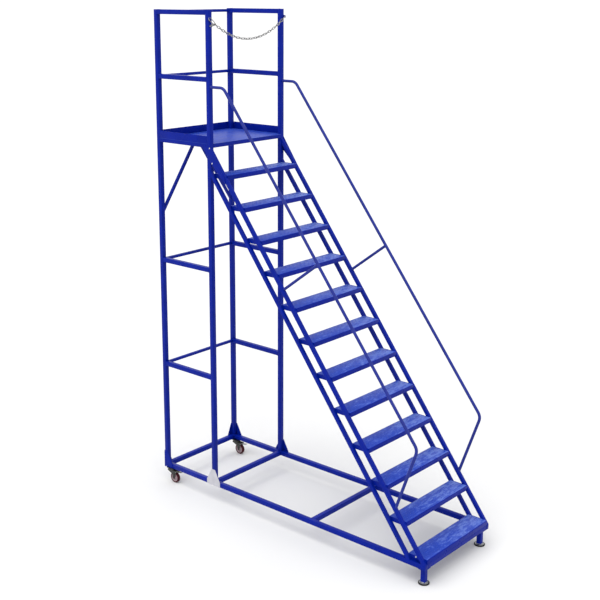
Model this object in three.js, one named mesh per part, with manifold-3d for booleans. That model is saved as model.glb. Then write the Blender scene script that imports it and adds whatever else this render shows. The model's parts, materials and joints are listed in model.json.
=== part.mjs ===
// Rolling warehouse ladder: a welded tower and stair of square tube with twelve folded steel
// treads, a railed platform closed by a chain, two braked swivel casters and two foot pads.
// Millimetres, +Z up, +Y is the way a person climbs, and "left" is -X.

import * as THREE from 'three';
import { mergeVertices } from 'three/addons/utils/BufferGeometryUtils.js';
import Module from 'manifold-3d';

const wasm = await Module();
wasm.setup();

// ---- driving dimensions -------------------------------------------------------------------

const TUBE = 40;                 // side of the square tube of the posts, side rails and base
const STRINGER = 30;             // side of the square tube of the four stringers
const REAR_RAIL = 25;            // side of the square tube of the rails across the rear
const WALL = 2;                  // of every square and round tube
const TOWER_WIDTH = 888;         // between post centres, left to right
const TOWER_DEPTH = 616;         // between post centres, front to rear
const BASE_BOTTOM = 142;         // underside of the base frame, on the casters
const BASE_FRONT_Y = -2275;      // front face of the base frame; y = 0 at the front posts
const POST_TOP = 4310;

const RISE = 250;                // one step up
const RUN = 188;                 // one step forward
const TREAD_COUNT = 12;
const PLATFORM_Z = 3220;         // standing surface of the platform
const TOP_NOSE_Y = -195;         // nose of the highest tread
const TREAD_DEPTH = 170;
const TREAD_FLANGE = 38;
const TREAD_SHEET = 2.5;
const NOSE_OVERHANG = 17;        // of a tread past the upper face of the front stringer
const STRINGER_PITCH = 141;      // between the front and the rear stringer, level

const GUARD_MID_Z = 3750;        // rail centres
const TOWER_UPPER_Z = 2130;
const TOWER_LOWER_Z = 1156;
const DECK_SHEET = 3;
const BEAM_HEIGHT = 32;          // of the platform beams
const TOE_TOP = 3284;
const BRACE_FOOT_Z = 2573;       // where the knee braces leave the rear posts
const BRACE_WIDTH = 24;

const HANDRAIL_RADIUS = 12.5;
const HANDRAIL_TOP_Z = 3690;
const HANDRAIL_TOP_BEND_Y = -165;
const HANDRAIL_LOW_BEND = { y: -2162, z: 1096 };
const HANDRAIL_FOOT = { y: -1981, z: 572 };
const STRUT_FOOT = { y: -828, z: 2112 };
const STRUT_HEAD = { y: -1178, z: 2374 };
const BEND_RADIUS = 75;

const PLATE = 4;                 // thickness of every gusset and lug
const LUG_REACH = 11;            // of a chain lug's hole in front of its post
const LUG_Z = 4244;
const LUG_HEIGHT = 28;
const LUG_WELD = 16;             // length of a lug on the side of its post
const CHAIN_LOW_Z = 4068;
const CHAIN_RADIUS = 7;

const PAD_RADIUS = 45;
const PAD_HEIGHT = 18;
const LEG_INSET = 45;            // of the leg centre from the front face of the base
const LEG_X = 407;

const WHEEL_RADIUS = 50;
const CASTER_X = 437;
const SWIVEL_Y = 566;
const TRAIL = 36;                // of the wheel axle behind the swivel
const GAP = 0.3;                 // clearance where round or sloping pieces meet
const ROUND_SIDES = 32;

// ---- places worked out from them ----------------------------------------------------------

const HALF = TUBE / 2;
const POST_X = TOWER_WIDTH / 2;
const INNER_X = POST_X - HALF;
const OUTER_X = POST_X + HALF;
const REAR_Y = TOWER_DEPTH + HALF;
const BASE_TOP = BASE_BOTTOM + TUBE;
const BEAM_BOTTOM = PLATFORM_Z - DECK_SHEET - BEAM_HEIGHT;
const TOP_TREAD_Z = PLATFORM_Z - RISE;
const LEG_Y = BASE_FRONT_Y + LEG_INSET;
const AXLE_Y = SWIVEL_Y - TRAIL;
const CHAIN_Y = -HALF - LUG_REACH;
const SLOPE = RUN / RISE;
const STRINGER_LEVEL = STRINGER * Math.hypot(1, SLOPE);
const STRINGER_INNER = OUTER_X - STRINGER;
const HANDRAIL_X = OUTER_X - STRINGER / 2;
const SIDES = [['left', -1], ['right', 1]];

// Level place of the front stringer's upper face at a height.
const upperFaceY = (z) => TOP_NOSE_Y + NOSE_OVERHANG - (TOP_TREAD_Z - z) * SLOPE;
const heightOnFace = (y) => TOP_TREAD_Z + (y - TOP_NOSE_Y - NOSE_OVERHANG) / SLOPE;

// ---- materials ----------------------------------------------------------------------------

const finish = (color, roughness, metalness) =>
  new THREE.MeshStandardMaterial({ color, roughness, metalness });

const bluePaint = finish(0x1a2fae, 0.38, 0.1);
const palePlate = finish(0xc9ccd2, 0.5, 0.1);
const zinc = finish(0x8f9490, 0.35, 0.9);
const chainSteel = finish(0xb9bcc0, 0.3, 1);
const wheelPlastic = finish(0xcdb9b8, 0.5, 0);
const tyreRubber = finish(0x5a1c24, 0.7, 0);
const pedalSteel = finish(0x55585c, 0.4, 0.9);

// ---- solids -------------------------------------------------------------------------------

function toSolid(geometry) {
  const bare = geometry.clone();
  bare.deleteAttribute('normal');
  bare.deleteAttribute('uv');
  const closed = mergeVertices(bare, 1e-4);
  return new wasm.Manifold(new wasm.Mesh({
    numProp: 3,
    vertProperties: new Float32Array(closed.attributes.position.array),
    triVerts: new Uint32Array(closed.index.array),
  }));
}

function toGeometry(solid) {
  const mesh = solid.getMesh();
  const geometry = new THREE.BufferGeometry();
  geometry.setAttribute('position', new THREE.BufferAttribute(mesh.vertProperties, 3));
  geometry.setIndex(new THREE.BufferAttribute(mesh.triVerts, 1));
  geometry.computeVertexNormals();
  return geometry;
}

function join(...geometries) {
  return toGeometry(geometries.map(toSolid).reduce((sum, next) => sum.add(next)));
}

function cut(geometry, ...tools) {
  return toGeometry(tools.map(toSolid).reduce((rest, tool) => rest.subtract(tool), toSolid(geometry)));
}

// Box between two corners; x limits may be given in either order.
function box(xa, xb, ya, yb, za, zb) {
  const geometry = new THREE.BoxGeometry(Math.abs(xb - xa), Math.abs(yb - ya), Math.abs(zb - za));
  return geometry.translate((xa + xb) / 2, (ya + yb) / 2, (za + zb) / 2);
}

// Square tube along one axis ('x', 'y' or 'z'), open at both ends unless an end is capped.
function squareTube(along, xa, xb, ya, yb, za, zb, { capLow = false, capHigh = false } = {}) {
  const low = [Math.min(xa, xb), ya, za];
  const high = [Math.max(xa, xb), yb, zb];
  const run = 'xyz'.indexOf(along);
  const boreLow = low.map((value) => value + WALL);
  const boreHigh = high.map((value) => value - WALL);
  if (!capLow) boreLow[run] = low[run] - 1;
  if (!capHigh) boreHigh[run] = high[run] + 1;
  const bore = box(boreLow[0], boreHigh[0], boreLow[1], boreHigh[1], boreLow[2], boreHigh[2]);
  return cut(box(xa, xb, ya, yb, za, zb), bore);
}

function extrude(outline, depth) {
  const shape = outline instanceof THREE.Shape
    ? outline
    : new THREE.Shape(outline.map(([u, v]) => new THREE.Vector2(u, v)));
  return new THREE.ExtrudeGeometry(shape, { depth, bevelEnabled: false, curveSegments: 8 });
}

// Outline in (y, z), between two x planes.
function plateAcrossX(outline, xa, xb) {
  const toYZ = new THREE.Matrix4().makeBasis(
    new THREE.Vector3(0, 1, 0), new THREE.Vector3(0, 0, 1), new THREE.Vector3(1, 0, 0),
  );
  return extrude(outline, Math.abs(xb - xa)).applyMatrix4(toYZ).translate(Math.min(xa, xb), 0, 0);
}

// Outline in (x, z), between two y planes.
function plateAcrossY(outline, ya, yb) {
  const toXZ = new THREE.Matrix4().makeBasis(
    new THREE.Vector3(1, 0, 0), new THREE.Vector3(0, 0, 1), new THREE.Vector3(0, -1, 0),
  );
  return extrude(outline, yb - ya).applyMatrix4(toXZ).translate(0, yb, 0);
}

function barAlongX(radius, xa, xb, y, z, sides = ROUND_SIDES) {
  const bar = new THREE.CylinderGeometry(radius, radius, Math.abs(xb - xa), sides);
  return bar.rotateZ(Math.PI / 2).translate((xa + xb) / 2, y, z);
}

function barAlongZ(radius, x, y, za, zb) {
  const bar = new THREE.CylinderGeometry(radius, radius, zb - za, ROUND_SIDES);
  return bar.rotateX(Math.PI / 2).translate(x, y, (za + zb) / 2);
}

// A ring or disc from a profile of [radius, offset], turned about the X axis.
function turnedAboutX(profile, x, y, z) {
  const points = profile.map(([radius, offset]) => new THREE.Vector2(radius, offset));
  return new THREE.LatheGeometry(points, ROUND_SIDES).rotateZ(-Math.PI / 2).translate(x, y, z);
}

// A path through given stations, one section at each, so that straight stretches stay long.
class StationPath extends THREE.Curve {
  constructor(stations) {
    super();
    this.stations = stations;
  }

  getPoint(t, target = new THREE.Vector3()) {
    const place = t * (this.stations.length - 1);
    const index = Math.min(Math.floor(place), this.stations.length - 2);
    return target.lerpVectors(this.stations[index], this.stations[index + 1], place - index);
  }

  getUtoTmapping(u) {
    return u;
  }
}

function roundTube(stations, radius, sides) {
  const section = new THREE.Shape(Array.from({ length: sides }, (_, i) => {
    const angle = 2 * Math.PI * i / sides;
    return new THREE.Vector2(radius * Math.cos(angle), radius * Math.sin(angle));
  }));
  const path = new StationPath(stations);
  return new THREE.ExtrudeGeometry(section, { steps: stations.length - 1, extrudePath: path });
}

// Stations around the bend between two straight stretches that meet at a corner.
function bend(before, corner, after, radius, count = 6) {
  const towards = before.clone().sub(corner).normalize();
  const away = after.clone().sub(corner).normalize();
  const halfAngle = towards.angleTo(away) / 2;
  const setback = radius / Math.tan(halfAngle);
  const axis = towards.clone().add(away).normalize();
  const centre = corner.clone().addScaledVector(axis, radius / Math.sin(halfAngle));
  const start = corner.clone().addScaledVector(towards, setback).sub(centre);
  const normal = start.clone().cross(corner.clone().addScaledVector(away, setback).sub(centre)).normalize();
  const sweep = Math.PI - 2 * halfAngle;
  return Array.from({ length: count + 1 }, (_, i) =>
    start.clone().applyAxisAngle(normal, sweep * i / count).add(centre));
}

// ---- assembly helpers ---------------------------------------------------------------------

const ladder = new THREE.Group();

function add(name, geometry, material = bluePaint, parent = ladder) {
  const mesh = new THREE.Mesh(geometry, material);
  mesh.name = name;
  parent.add(mesh);
  return mesh;
}

// ---- tower --------------------------------------------------------------------------------

// Lug welded to the outer face of a front post, with the hole that the chain hangs from.
function chainLug(side) {
  const outline = new THREE.Shape();
  const zs = [LUG_Z - LUG_HEIGHT / 2, LUG_Z + LUG_HEIGHT / 2];
  outline.moveTo(LUG_WELD - HALF, zs[0]);
  outline.lineTo(LUG_WELD - HALF, zs[1]);
  outline.lineTo(-HALF, zs[1]);
  outline.absarc(CHAIN_Y, LUG_Z, 10, Math.PI / 2, 3 * Math.PI / 2, false);
  outline.lineTo(-HALF, zs[0]);
  const hole = new THREE.Path();
  hole.absarc(CHAIN_Y, LUG_Z, 5, 0, 2 * Math.PI, true);
  outline.holes.push(hole);
  return plateAcrossX(outline, side * OUTER_X, side * (OUTER_X + PLATE));
}

function makePosts() {
  for (const [sideName, side] of SIDES) {
    const xs = [side * INNER_X, side * OUTER_X];
    const capped = { capHigh: true };
    const front = squareTube('z', ...xs, -HALF, HALF, BASE_TOP, POST_TOP, capped);
    const rear = squareTube('z', ...xs, TOWER_DEPTH - HALF, REAR_Y, BASE_TOP, POST_TOP, capped);
    add(`post_front_${sideName}`, join(front, chainLug(side)));
    add(`post_rear_${sideName}`, rear);
  }
}

// Three rails round the tower at one height, the rear one thinner; the front stays open.
function makeRailSet(name, centreZ) {
  const zs = [centreZ - HALF, centreZ + HALF];
  for (const [sideName, side] of SIDES) {
    const rail = squareTube('y', side * INNER_X, side * OUTER_X, HALF, TOWER_DEPTH - HALF, ...zs);
    add(`${name}_${sideName}`, rail);
  }
  const thin = REAR_RAIL / 2;
  const ys = [TOWER_DEPTH - thin, TOWER_DEPTH + thin];
  add(`${name}_rear`, squareTube('x', -INNER_X, INNER_X, ...ys, centreZ - thin, centreZ + thin));
}

function makeKneeBraces() {
  const rise = BEAM_BOTTOM - BRACE_FOOT_Z;
  const length = Math.hypot(INNER_X, rise);
  const halfUp = BRACE_WIDTH / 2 * length / INNER_X;
  const halfAcross = BRACE_WIDTH / 2 * length / rise;
  for (const [sideName, side] of SIDES) {
    const outline = [
      [side * INNER_X, BRACE_FOOT_Z - halfUp],
      [0, BEAM_BOTTOM - halfUp],
      [0, BEAM_BOTTOM],
      [side * halfAcross, BEAM_BOTTOM],
      [side * INNER_X, BRACE_FOOT_Z + halfUp],
    ];
    const ys = [TOWER_DEPTH - BRACE_WIDTH / 2, TOWER_DEPTH + BRACE_WIDTH / 2];
    add(`knee_brace_${sideName}`, plateAcrossY(outline, ...ys));
  }
}

// ---- platform -----------------------------------------------------------------------------

function makePlatform() {
  const beamZ = [BEAM_BOTTOM, BEAM_BOTTOM + BEAM_HEIGHT];
  const floorZ = [BEAM_BOTTOM + BEAM_HEIGHT - 1, PLATFORM_Z];
  const endX = INNER_X - 1;
  const sideY = [HALF, TOWER_DEPTH - HALF];
  const parts = [
    squareTube('x', -endX, endX, -HALF, HALF, ...beamZ),
    squareTube('x', -endX, endX, TOWER_DEPTH - HALF, REAR_Y, ...beamZ),
    box(-INNER_X, INNER_X, -HALF, REAR_Y, ...floorZ),
    box(-OUTER_X, OUTER_X, ...sideY, ...floorZ),
    box(-INNER_X, INNER_X, REAR_Y - DECK_SHEET, REAR_Y, PLATFORM_Z - 1, TOE_TOP),
  ];
  for (const side of [-1, 1]) {
    parts.push(squareTube('y', side * INNER_X, side * OUTER_X, ...sideY, ...beamZ));
    parts.push(box(side * (OUTER_X - DECK_SHEET), side * OUTER_X, ...sideY, PLATFORM_Z - 1, TOE_TOP));
  }
  add('platform_deck', join(...parts));
}

// ---- base ---------------------------------------------------------------------------------

// Each front leg stands a little inside its corner, under a plate welded to the base rail.
function makeBase() {
  for (const [sideName, side] of SIDES) {
    const xs = [side * INNER_X, side * OUTER_X];
    const rail = squareTube('y', ...xs, BASE_FRONT_Y, REAR_Y, BASE_BOTTOM, BASE_TOP, { capLow: true });
    const legXs = [side * (LEG_X - HALF), side * (LEG_X + HALF)];
    const legTop = BASE_BOTTOM - PLATE / 2;
    const leg = squareTube('z', ...legXs, LEG_Y - HALF, LEG_Y + HALF, PAD_HEIGHT, legTop);
    const plateYs = [BASE_FRONT_Y, LEG_Y + HALF];
    const plateBottom = BASE_BOTTOM - PLATE;
    const cornerPlate = box(legXs[0], side * OUTER_X, ...plateYs, plateBottom, BASE_BOTTOM);
    const weld = box(...xs, ...plateYs, plateBottom, BASE_BOTTOM + 1);
    add(`base_rail_${sideName}`, join(rail, leg, cornerPlate, weld));
  }
  const crossCentres = {
    front: BASE_FRONT_Y + HALF,
    centre: (BASE_FRONT_Y + HALF) / 2,
    tower_front: 0,
    rear: TOWER_DEPTH,
  };
  for (const [name, y] of Object.entries(crossCentres)) {
    const rail = squareTube('x', -INNER_X, INNER_X, y - HALF, y + HALF, BASE_BOTTOM, BASE_TOP);
    add(`base_cross_${name}`, rail);
  }
}

// Plates that stiffen the foot of each post; the rear ones are folded round the corner.
function makeFootGussets() {
  const top = 294;
  const shoulder = 185;
  const chamfer = 6;
  const reach = 80;
  const neck = 20;
  const bottom = BASE_BOTTOM;
  for (const [sideName, side] of SIDES) {
    const xs = [side * OUTER_X, side * (OUTER_X + PLATE)];
    add(`foot_gusset_front_${sideName}`, plateAcrossX([
      [-reach + chamfer, bottom], [reach - chamfer, bottom], [reach, bottom + chamfer], [reach, shoulder],
      [neck, top], [-neck, top], [-reach, shoulder], [-reach, bottom + chamfer],
    ], ...xs), side < 0 ? palePlate : bluePaint);

    const foldY = REAR_Y + PLATE;
    const sidePlate = plateAcrossX([
      [TOWER_DEPTH - reach + chamfer, bottom], [foldY, bottom], [foldY, top],
      [TOWER_DEPTH - neck, top], [TOWER_DEPTH - reach, shoulder], [TOWER_DEPTH - reach, bottom + chamfer],
    ], ...xs);
    const foldX = OUTER_X + PLATE;
    const rearReach = POST_X - 64;
    const rearPlate = plateAcrossY([
      [side * foldX, bottom], [side * foldX, top], [side * (POST_X - neck), top],
      [side * rearReach, shoulder], [side * rearReach, bottom + chamfer],
      [side * (rearReach + chamfer), bottom],
    ], REAR_Y, foldY);
    add(`foot_gusset_rear_${sideName}`, join(sidePlate, rearPlate));
  }
}

function makeFootPads() {
  const profile = [
    [0, 0], [PAD_RADIUS - 2, 0], [PAD_RADIUS, 2], [PAD_RADIUS, 9], [PAD_RADIUS - 4, 12],
    [27, 14], [24, PAD_HEIGHT], [0, PAD_HEIGHT],
  ].map(([radius, z]) => new THREE.Vector2(radius, z));
  for (const [sideName, side] of SIDES) {
    const pad = new THREE.LatheGeometry(profile, ROUND_SIDES).rotateX(Math.PI / 2);
    add(`foot_pad_${sideName}`, pad.translate(side * LEG_X, LEG_Y, 0), zinc);
  }
}

// ---- stair --------------------------------------------------------------------------------

// Outline of one stringer, cut square on the base and upright against the front post. Inset
// moves its sloping faces inwards, and extra lets it run past both of its ends.
function stringerOutline(offset, inset = 0, extra = 0) {
  const near = offset + inset * Math.hypot(1, SLOPE);
  const far = offset + STRINGER_LEVEL - inset * Math.hypot(1, SLOPE);
  const foot = BASE_TOP - extra;
  const head = -HALF + extra;
  return [
    [upperFaceY(foot) + near, foot],
    [upperFaceY(foot) + far, foot],
    [head, heightOnFace(head - far)],
    [head, heightOnFace(head - near)],
  ];
}

function stringerTube(side, offset) {
  const bar = plateAcrossX(stringerOutline(offset), side * STRINGER_INNER, side * OUTER_X);
  const boreXs = [side * (STRINGER_INNER + WALL), side * (OUTER_X - WALL)];
  return cut(bar, plateAcrossX(stringerOutline(offset, WALL, 1), ...boreXs));
}

// Tapered plate that ties the front stringer to the post and the platform beam.
function upperGusset(side) {
  const lowZ = 2900;
  const frontZ = lowZ + 55;
  const topZ = 3200;
  const inset = 6;
  const outline = [
    [74, topZ], [-HALF + inset, topZ], [-HALF - inset, heightOnFace(-HALF - 2 * inset)],
    [upperFaceY(frontZ) + inset, frontZ], [upperFaceY(lowZ) + STRINGER_LEVEL, lowZ], [-HALF, 3068],
  ];
  return plateAcrossX(outline, side * OUTER_X, side * (OUTER_X + PLATE));
}

function makeStringers() {
  for (const [sideName, side] of SIDES) {
    add(`stringer_front_${sideName}`, join(stringerTube(side, 0), upperGusset(side)));
    add(`stringer_rear_${sideName}`, stringerTube(side, STRINGER_PITCH));
  }
}

// Folded pan, open below, with closed ends that are welded to the stringers.
function treadPan(front, rear, top) {
  const halfWidth = STRINGER_INNER;
  const outer = box(-halfWidth, halfWidth, front, rear, top - TREAD_FLANGE, top);
  const inner = box(
    -halfWidth + TREAD_SHEET, halfWidth - TREAD_SHEET,
    front + TREAD_SHEET, rear - TREAD_SHEET,
    top - TREAD_FLANGE - 1, top - TREAD_SHEET,
  );
  return cut(outer, inner);
}

// The lowest tread is a little deeper, so that it ends flush with the front of the base.
function makeTreads() {
  for (let step = 1; step <= TREAD_COUNT; step += 1) {
    const below = TREAD_COUNT - step;
    const nose = TOP_NOSE_Y - RUN * below;
    const front = step === 1 ? BASE_FRONT_Y : nose;
    const pan = treadPan(front, nose + TREAD_DEPTH, TOP_TREAD_Z - RISE * below);
    add(`tread_${String(step).padStart(2, '0')}`, pan);
  }
}

// ---- handrails ----------------------------------------------------------------------------

// The rail and its strut at one radius; the larger one is the outside, the smaller one the bore.
function handrailSolid(side, radius, overrun) {
  const at = (y, z) => new THREE.Vector3(side * HANDRAIL_X, y, z);
  const past = (from, to, distance) =>
    to.clone().add(to.clone().sub(from).normalize().multiplyScalar(distance));
  const start = at(-HALF - GAP + overrun, HANDRAIL_TOP_Z);
  const topBend = at(HANDRAIL_TOP_BEND_Y, HANDRAIL_TOP_Z);
  const lowBend = at(HANDRAIL_LOW_BEND.y, HANDRAIL_LOW_BEND.z);
  const foot = at(HANDRAIL_FOOT.y, HANDRAIL_FOOT.z);
  const rail = roundTube([
    start,
    ...bend(start, topBend, lowBend, BEND_RADIUS),
    ...bend(topBend, lowBend, foot, BEND_RADIUS),
    past(lowBend, foot, HALF + overrun),
  ], radius, 12);
  const strutFoot = at(STRUT_FOOT.y, STRUT_FOOT.z);
  const strutHead = at(STRUT_HEAD.y, STRUT_HEAD.z);
  const strut = roundTube([strutHead, past(strutHead, strutFoot, HALF + overrun)], radius - 0.5, 12);
  return [rail, strut];
}

function makeHandrails() {
  const clear = GAP * Math.hypot(1, SLOPE);
  const [low, , , high] = stringerOutline(0);
  const depth = TUBE * 3;
  for (const [sideName, side] of SIDES) {
    const stringerSpace = plateAcrossX([
      [low[0] - clear, low[1]], [low[0] + depth, low[1]], [high[0] + depth, high[1]],
      [high[0] - clear, high[1]],
    ], side * (INNER_X - 10), side * (OUTER_X + 10));
    const outside = join(...handrailSolid(side, HANDRAIL_RADIUS, 0));
    const bores = handrailSolid(side, HANDRAIL_RADIUS - WALL, 2);
    add(`handrail_${sideName}`, cut(outside, ...bores, stringerSpace));
  }
}

// ---- safety chain -------------------------------------------------------------------------

// Shape number of a hanging chain: its sag over half its span, found by halving.
function catenaryNumber(halfSpan, sag) {
  let low = halfSpan;
  let high = halfSpan * 10;
  for (let round = 0; round < 50; round += 1) {
    const middle = (low + high) / 2;
    const middleSag = middle * (Math.cosh(halfSpan / middle) - 1);
    if (middleSag > sag) low = middle;
    else high = middle;
  }
  return low;
}

function makeChain() {
  const halfSpan = OUTER_X - 5;
  const number = catenaryNumber(halfSpan, LUG_Z - CHAIN_LOW_Z);
  const count = 24;
  const stations = Array.from({ length: count + 1 }, (_, i) => {
    const x = halfSpan * (2 * i / count - 1);
    return new THREE.Vector3(x, CHAIN_Y, CHAIN_LOW_Z + number * (Math.cosh(x / number) - 1));
  });
  add('safety_chain', roundTube(stations, CHAIN_RADIUS, 8), chainSteel);
}

// ---- casters ------------------------------------------------------------------------------

const CROWN_BOTTOM = 114;
const CROWN_THICK = 5;
const MOUNT_BOTTOM = 137;
const KINGPIN_RADIUS = 9;
const LEG_INNER = 18.5;
const LEG_OUTER = 22;
const AXLE_RADIUS = 6;
const TYRE_INNER = 38;
const PEDAL_PIN = { y: AXLE_Y - 24, z: 110 };
const PIN_RADIUS = 4;

function casterMount(x) {
  const plate = box(x - 40, x + 40, SWIVEL_Y - 45, SWIVEL_Y + 45, MOUNT_BOTTOM, BASE_BOTTOM);
  const kingpin = barAlongZ(KINGPIN_RADIUS, x, SWIVEL_Y, CROWN_BOTTOM - 6, MOUNT_BOTTOM + 1);
  const head = barAlongZ(KINGPIN_RADIUS + 4, x, SWIVEL_Y, CROWN_BOTTOM - 7, CROWN_BOTTOM - 1);
  return join(plate, kingpin, head);
}

// One side of the fork: a wide top, then a narrow leg with a round end about the axle.
function forkLeg(x, side) {
  const shape = new THREE.Shape();
  const top = CROWN_BOTTOM + CROWN_THICK;
  shape.moveTo(SWIVEL_Y + 44, top);
  shape.lineTo(AXLE_Y - 32, top);
  shape.lineTo(AXLE_Y - 32, CROWN_BOTTOM - 13);
  shape.lineTo(AXLE_Y - 14, CROWN_BOTTOM - 32);
  shape.absarc(AXLE_Y, WHEEL_RADIUS, 12, Math.PI, 2 * Math.PI, false);
  shape.lineTo(AXLE_Y + 20, CROWN_BOTTOM - 32);
  shape.lineTo(SWIVEL_Y + 44, CROWN_BOTTOM - 8);
  return plateAcrossX(shape, x + side * LEG_INNER, x + side * LEG_OUTER);
}

function casterFork(x) {
  const crown = box(
    x - LEG_OUTER, x + LEG_OUTER, SWIVEL_Y - 43, SWIVEL_Y + 44, CROWN_BOTTOM, CROWN_BOTTOM + CROWN_THICK,
  );
  const race = barAlongZ(30, x, SWIVEL_Y, CROWN_BOTTOM + 2, MOUNT_BOTTOM - 0.5);
  const axle = barAlongX(AXLE_RADIUS, x - LEG_OUTER - 4, x + LEG_OUTER + 4, AXLE_Y, WHEEL_RADIUS, 16);
  const kingpinHole = barAlongZ(
    KINGPIN_RADIUS + GAP, x, SWIVEL_Y, CROWN_BOTTOM - 10, MOUNT_BOTTOM + 10,
  );
  const { y, z } = PEDAL_PIN;
  const pedalHole = barAlongX(PIN_RADIUS + GAP, x - LEG_OUTER - 5, x + LEG_OUTER + 5, y, z, 12);
  return cut(join(crown, race, forkLeg(x, -1), forkLeg(x, 1), axle), kingpinHole, pedalHole);
}

function casterWheel(x) {
  const bore = AXLE_RADIUS + GAP;
  const rim = TYRE_INNER - GAP;
  return turnedAboutX([
    [bore, -17], [15, -17], [16, -8], [31, -6], [32, -13], [rim, -13],
    [rim, 13], [32, 13], [31, 6], [16, 8], [15, 17], [bore, 17], [bore, -17],
  ], x, AXLE_Y, WHEEL_RADIUS);
}

function casterTyre(x) {
  const outer = WHEEL_RADIUS;
  return turnedAboutX([
    [TYRE_INNER, -13], [outer - 5, -15], [outer - 1, -11], [outer, -6],
    [outer, 6], [outer - 1, 11], [outer - 5, 15], [TYRE_INNER, 13], [TYRE_INNER, -13],
  ], x, AXLE_Y, WHEEL_RADIUS);
}

// Foot lever on a cross pin through the fork sides; its tip points away from the tower.
function brakePedal(x) {
  const { y, z } = PEDAL_PIN;
  const lever = plateAcrossX([
    [y, z - 1.5], [y, z + 1.5], [y - 18, z + 4], [y - 62, z + 10], [y - 64, z + 7], [y - 18, z + 1],
  ], x - 14, x + 14);
  return join(lever, barAlongX(PIN_RADIUS, x - LEG_OUTER - 2, x + LEG_OUTER + 2, y, z, 12));
}

function makeCasters() {
  for (const [sideName, side] of SIDES) {
    const x = side * CASTER_X;
    add(`caster_${sideName}_mount`, casterMount(x), zinc);
    add(`caster_${sideName}_fork`, casterFork(x), zinc);
    add(`caster_${sideName}_wheel`, casterWheel(x), wheelPlastic);
    add(`caster_${sideName}_tyre`, casterTyre(x), tyreRubber);
    add(`caster_${sideName}_brake_pedal`, brakePedal(x), pedalSteel);
  }
}

// ---- the ladder ---------------------------------------------------------------------------

makePosts();
makeRailSet('guard_top_rail', POST_TOP - HALF);
makeRailSet('guard_mid_rail', GUARD_MID_Z);
makeRailSet('tower_upper_rail', TOWER_UPPER_Z);
makeRailSet('tower_lower_rail', TOWER_LOWER_Z);
makeKneeBraces();
makePlatform();
makeBase();
makeFootGussets();
makeFootPads();
makeStringers();
makeTreads();
makeHandrails();
makeChain();
makeCasters();

// The origin is on the floor, midway between the front of the base and the rear gussets.
ladder.position.y = -(BASE_FRONT_Y + REAR_Y + PLATE) / 2;

export default ladder;
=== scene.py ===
"""Looks of the rolling warehouse ladder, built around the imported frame. Metres, +Z up."""

import json
import math

import bmesh
import bpy
from mathutils import Matrix, Vector


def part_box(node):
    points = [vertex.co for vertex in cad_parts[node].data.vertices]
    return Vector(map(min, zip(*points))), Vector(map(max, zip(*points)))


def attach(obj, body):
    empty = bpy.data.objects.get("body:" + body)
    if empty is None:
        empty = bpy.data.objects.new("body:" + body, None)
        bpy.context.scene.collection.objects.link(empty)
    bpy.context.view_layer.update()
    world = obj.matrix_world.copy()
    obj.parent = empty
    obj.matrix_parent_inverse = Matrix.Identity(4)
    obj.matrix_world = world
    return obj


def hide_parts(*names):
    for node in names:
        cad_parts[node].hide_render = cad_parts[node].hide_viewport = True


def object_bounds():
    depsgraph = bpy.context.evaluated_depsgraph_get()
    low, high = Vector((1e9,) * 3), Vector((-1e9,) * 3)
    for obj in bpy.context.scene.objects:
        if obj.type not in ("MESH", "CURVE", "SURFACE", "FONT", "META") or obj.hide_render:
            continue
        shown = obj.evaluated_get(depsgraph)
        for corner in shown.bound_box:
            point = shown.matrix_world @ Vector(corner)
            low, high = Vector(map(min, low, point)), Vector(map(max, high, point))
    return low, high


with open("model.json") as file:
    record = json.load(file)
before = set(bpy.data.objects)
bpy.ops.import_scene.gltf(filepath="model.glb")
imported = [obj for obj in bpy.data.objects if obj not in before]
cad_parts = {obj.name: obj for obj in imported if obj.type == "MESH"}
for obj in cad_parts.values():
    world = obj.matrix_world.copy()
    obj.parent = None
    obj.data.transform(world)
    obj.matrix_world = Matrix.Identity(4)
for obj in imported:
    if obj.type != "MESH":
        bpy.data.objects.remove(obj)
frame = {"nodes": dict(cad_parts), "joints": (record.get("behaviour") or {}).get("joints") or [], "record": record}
cad_low, cad_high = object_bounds()

MM = 0.001
FRAME = "ladder_frame"
SIDES = (("left", -1), ("right", 1))

# ---- sizes read from the frame ---------------------------------------------------------------

JOINTS = {joint["name"]: joint for joint in frame["joints"]}
POST_LOW, POST_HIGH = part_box("post_rear_right")
TUBE = POST_HIGH.x - POST_LOW.x
OUTER_X = POST_HIGH.x
INNER_X = POST_LOW.x
POST_X = (INNER_X + OUTER_X) / 2
TOWER_REAR_Y = POST_HIGH.y
REAR_POST_FRONT_Y = POST_LOW.y
FRONT_POST_REAR_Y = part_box("guard_top_rail_right")[0].y
TOWER_FRONT_Y = FRONT_POST_REAR_Y - TUBE
BASE_TOP = POST_LOW.z
BASE_BOTTOM = BASE_TOP - TUBE
STRINGER_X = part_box("stringer_rear_right")[0].x
STAIR_NORMAL = Vector((0, -250, 188)).normalized()  # square to the stringers: rise 250, run 188
PLATE = 4 * MM
TOUCH = 0.1 * MM  # within which a corner counts as on a plane

# ---- finish sizes ----------------------------------------------------------------------------

CORNER = 3 * MM  # outside radius of the tube corners
SOFT_EDGE = 0.8 * MM  # radius of plate edges
BEAD = 1.9 * MM  # radius of a weld bead
BEAD_STEP = 1.6 * MM  # between the ripples of a bead
BEAD_SHAPE = 0.8  # height of a bead as a share of its width
RIPPLE = (1.0, 1.16, 1.04, 0.88)  # of a bead's radius, ripple after ripple
LENTIL_PITCH = 24 * MM  # between the raised marks of the anti-slip sheet
LENTIL_LENGTH = 20 * MM
LENTIL_WIDTH = 6.5 * MM
LENTIL_HEIGHT = 1.3 * MM


# ---- materials -------------------------------------------------------------------------------


def new_material(name):
    material = bpy.data.materials.new(name)
    material.use_nodes = True
    nodes = material.node_tree.nodes
    shader = nodes["Principled BSDF"]
    place = nodes.new("ShaderNodeTexCoord")
    return material, nodes, material.node_tree.links, shader, place


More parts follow.
